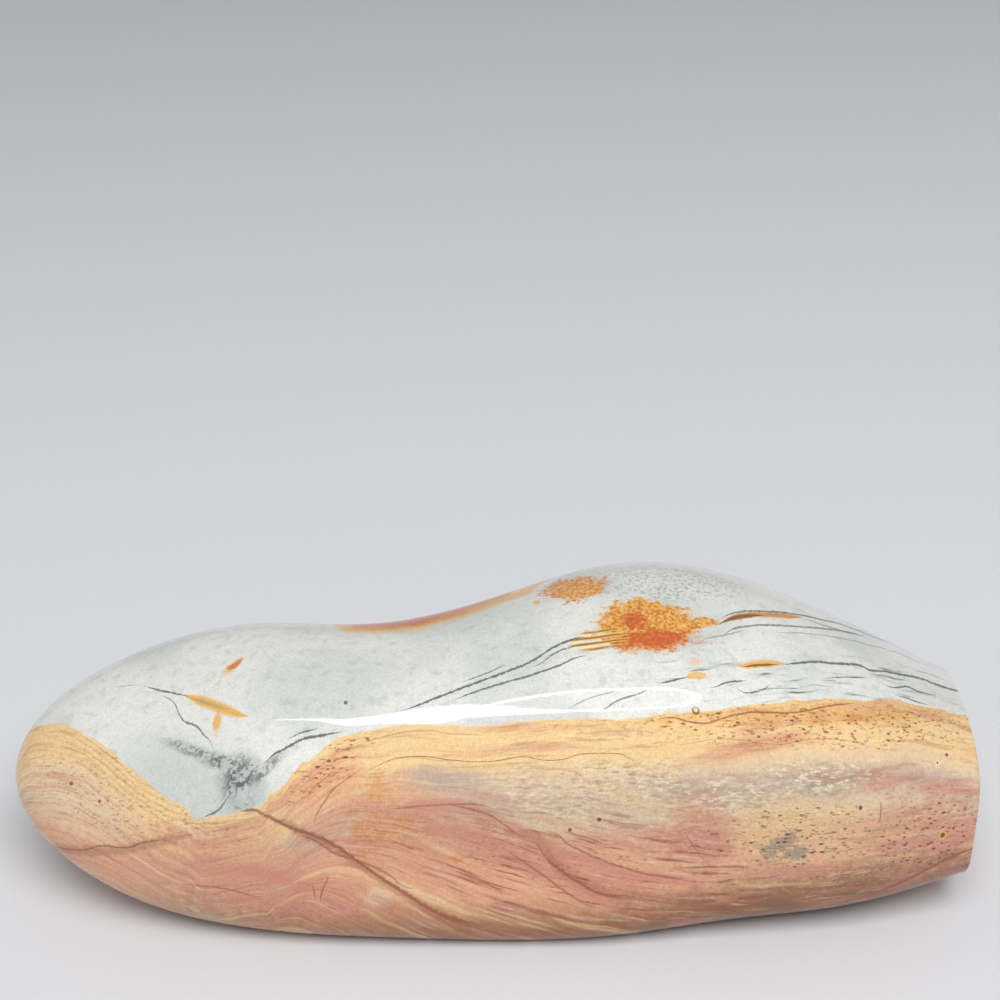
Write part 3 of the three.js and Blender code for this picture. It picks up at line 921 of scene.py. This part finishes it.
class JASPER_OT_stone(bpy.types.Operator):
    """Make the polished stone"""
    bl_idname = "jasper.make_stone"
    bl_label = "Make the stone"

    def execute(self, context):
        shape = context.scene.jasper_shape
        stone = add_cut_cube("polished_stone", first_cuts=9, second_cuts=11)
        draw_out(stone, shape)
        outward = (math.cos(shape.saw_turn), -math.sin(shape.saw_turn), 0)
        slice_and_round(stone, (shape.saw_place, 0, 0), outward, shape.rim)
        slice_and_round(stone, (0, 0, 0), (0, 0, -1), shape.flat_rim)
        edit_mesh("SELECT")
        bpy.ops.mesh.normals_make_consistent(inside=False)
        bpy.ops.object.mode_set(mode="OBJECT")
        bpy.ops.object.shade_smooth_by_angle(angle=math.radians(35))
        stone.data.materials.append(make_jasper(context.scene.jasper_finish))
        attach(stone, "root")
        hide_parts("stone")
        return {"FINISHED"}


# The lamps' courses over the stone, in millimetres along and across, and their half widths
RING_PATH = (
    (285, 70), (224, 134), (23, 136), (-140, 194), (-212, 228), (-203, 140), (-119, -45),
    (36, -128), (220, -82))
RING_HALF_WIDTHS = (20, 14, 12, 12, 14, 14, 12, 12, 14, 20)
STRIP_PATH = ((-203, 117), (-229, 221), (-252, 316), (-309, 440), (-445, 505))
STRIP_HALF_WIDTHS = (24, 20, 17, 14, 8, 1)
BAND_STEPS = 96

# A band's direction is taken between places this share of its way before and after
NEARBY = 0.004

# The cover's brightness beside the ring's, and how far above it hangs, in metres
COVER_SHARE = 0.09
COVER_GAP = 0.002

# The colours of the lamps' glow and of the air
GLOW_TINT = (0.93, 0.97, 1.0)
AIR_TINT = (0.97, 0.98, 1.0)

# The soft light's width and depth, and where it points, in metres
SOFT_SIZE = (1.3, 1.0)
STONE_MIDDLE = (0, 0, 0.02)


def plain_material(name, tone, roughness):
    material = bpy.data.materials.new(name)
    material.use_nodes = True
    shader = material.node_tree.nodes["Principled BSDF"]
    shader.inputs["Base Color"].default_value = (*tone, 1.0)
    shader.inputs["Roughness"].default_value = roughness
    return material


def glow_material(name, strength):
    """Black to other light, and giving off its own."""
    material = plain_material(name, (0, 0, 0), 1.0)
    shader = material.node_tree.nodes["Principled BSDF"]
    shader.inputs["Emission Color"].default_value = (*GLOW_TINT, 1.0)
    shader.inputs["Emission Strength"].default_value = strength
    material.cycles.emission_sampling = "NONE"
    return material


def add_glow(obj, name, material):
    """Makes a glowing piece of the lamp, seen only in the polish."""
    obj.name = name
    obj.data.materials.append(material)
    obj.visible_camera = False
    obj.visible_diffuse = False


def smooth_path(points, ways, closed):
    """The place at each share of the way along a smooth curve through the points."""
    corners = np.array(points, dtype=float)
    if closed:
        corners = np.concatenate((corners[-1:], corners, corners[:2]))
    else:
        first = 2 * corners[0] - corners[1]
        last = 2 * corners[-1] - corners[-2]
        corners = np.concatenate(([first], corners, [last]))
    pieces = len(corners) - 3
    reach = np.clip(ways, 0, 1) * pieces
    i = np.minimum(np.floor(reach).astype(int), pieces - 1)
    f = (reach - i)[:, None]
    before, here, after, last = (corners[i + k] for k in range(4))
    return here + 0.5 * (
        (after - before) * f + (2 * before - 5 * here + 4 * after - last) * f ** 2
        + (3 * here - before - 3 * after + last) * f ** 3)


def add_band(path, closed, half_widths, height):
    """A flat band along a path, with its half width given at even shares of the way."""
    bpy.ops.mesh.primitive_grid_add(x_subdivisions=BAND_STEPS, y_subdivisions=1, size=2.0)
    band = bpy.context.object
    flat = read_points(band.data)
    way = (flat[:, 0] + 1) / 2
    ahead = smooth_path(path, way + NEARBY, closed) - smooth_path(path, way - NEARBY, closed)
    across = np.stack((-ahead[:, 1], ahead[:, 0]), axis=1)
    across /= np.linalg.norm(across, axis=1, keepdims=True)
    half = np.interp(way, np.linspace(0, 1, len(half_widths)), half_widths)
    spots = smooth_path(path, way, closed) + across * (flat[:, 1] * half)[:, None]
    write_points(band.data, np.column_stack((spots * MM, np.full(len(spots), height))))
    return band


def add_cover(path, height):
    """A flat sheet that fills a closed path."""
    bpy.ops.mesh.primitive_circle_add(vertices=BAND_STEPS, radius=1.0, fill_type="NGON")
    cover = bpy.context.object
    flat = read_points(cover.data)
    way = np.arctan2(flat[:, 1], flat[:, 0]) / math.tau % 1
    spots = smooth_path(path, way, True)
    write_points(cover.data, np.column_stack((spots * MM, np.full(len(spots), height))))
    return cover


def add_lamps(studio):
    """A ring, a faint cover in it and a strip beside it, which the highlight mirrors."""
    bright = glow_material("Lamp glow", studio.lamp_glow)
    faint = glow_material("Lamp cover glow", studio.lamp_glow * COVER_SHARE)
    height = studio.lamp_height
    add_glow(add_band(RING_PATH, True, RING_HALF_WIDTHS, height), "ring_lamp", bright)
    add_glow(add_cover(RING_PATH, height + COVER_GAP), "lamp_cover", faint)
    add_glow(add_band(STRIP_PATH, False, STRIP_HALF_WIDTHS, height), "strip_lamp", bright)


def add_soft_light(scene, studio):
    """The soft light overhead. The polish doesn't mirror it."""
    lamp = bpy.data.lights.new("Soft light", "AREA")
    lamp.shape = "RECTANGLE"
    lamp.size, lamp.size_y = SOFT_SIZE
    lamp.energy = studio.soft_power
    soft = bpy.data.objects.new("Soft light", lamp)
    soft.location = studio.soft_place
    soft.visible_glossy = False
    towards_stone = Vector(STONE_MIDDLE) - soft.location
    soft.rotation_euler = towards_stone.to_track_quat("-Z", "Y").to_euler()
    scene.collection.objects.link(soft)


def add_air(scene, studio):
    """The even light all round."""
    world = bpy.data.worlds.new("Studio air")
    world.use_nodes = True
    air = world.node_tree.nodes["Background"]
    air.inputs["Color"].default_value = (*AIR_TINT, 1.0)
    air.inputs["Strength"].default_value = studio.sky
    scene.world = world
    scene.view_settings.view_transform = "Standard"


def add_camera(scene, studio):
    eye = bpy.data.cameras.new("Camera")
    eye.lens = studio.lens
    camera = bpy.data.objects.new("Camera", eye)
    camera.location = studio.camera_place
    camera.rotation_euler = (math.pi / 2 - studio.camera_pitch, 0, 0)
    scene.collection.objects.link(camera)
    scene.camera = camera


class JASPER_OT_stage(bpy.types.Operator):
    """Make the floor, the lights and the camera"""
    bl_idname = "jasper.make_stage"
    bl_label = "Make the stage"

    def execute(self, context):
        studio = context.scene.jasper_studio
        bpy.ops.mesh.primitive_plane_add(size=studio.floor_size)
        floor = bpy.context.object
        floor.name = "studio_floor"
        floor.data.materials.append(plain_material("Pale floor", studio.floor_tint, 0.7))
        add_lamps(studio)
        add_soft_light(context.scene, studio)
        add_air(context.scene, studio)
        add_camera(context.scene, studio)
        return {"FINISHED"}


class JASPER_PT_panel(bpy.types.Panel):
    """Lists what the file makes"""
    bl_idname = "JASPER_PT_panel"
    bl_label = "Polished jasper"
    bl_space_type = "VIEW_3D"
    bl_region_type = "UI"
    bl_category = "Jasper"

    def draw(self, context):
        layout = self.layout
        for settings, kind in SETTINGS.items():
            for name in kind.__annotations__:
                layout.prop(getattr(context.scene, settings), name)
        layout.operator(JASPER_OT_stone.bl_idname)
        layout.operator(JASPER_OT_stage.bl_idname)


SETTINGS = {
    "jasper_shape": JASPER_PG_shape,
    "jasper_finish": JASPER_PG_finish,
    "jasper_studio": JASPER_PG_studio,
}
CLASSES = (*SETTINGS.values(), JASPER_OT_stone, JASPER_OT_stage, JASPER_PT_panel)


def register():
    for each in CLASSES:
        bpy.utils.register_class(each)
    for name, group in SETTINGS.items():
        setattr(bpy.types.Scene, name, bpy.props.PointerProperty(type=group))


def unregister():
    for name in SETTINGS:
        delattr(bpy.types.Scene, name)
    for each in reversed(CLASSES):
        bpy.utils.unregister_class(each)


def main():
    register()
    bpy.ops.jasper.make_stone()
    bpy.ops.jasper.make_stage()


if __name__ == "__main__":
    main()
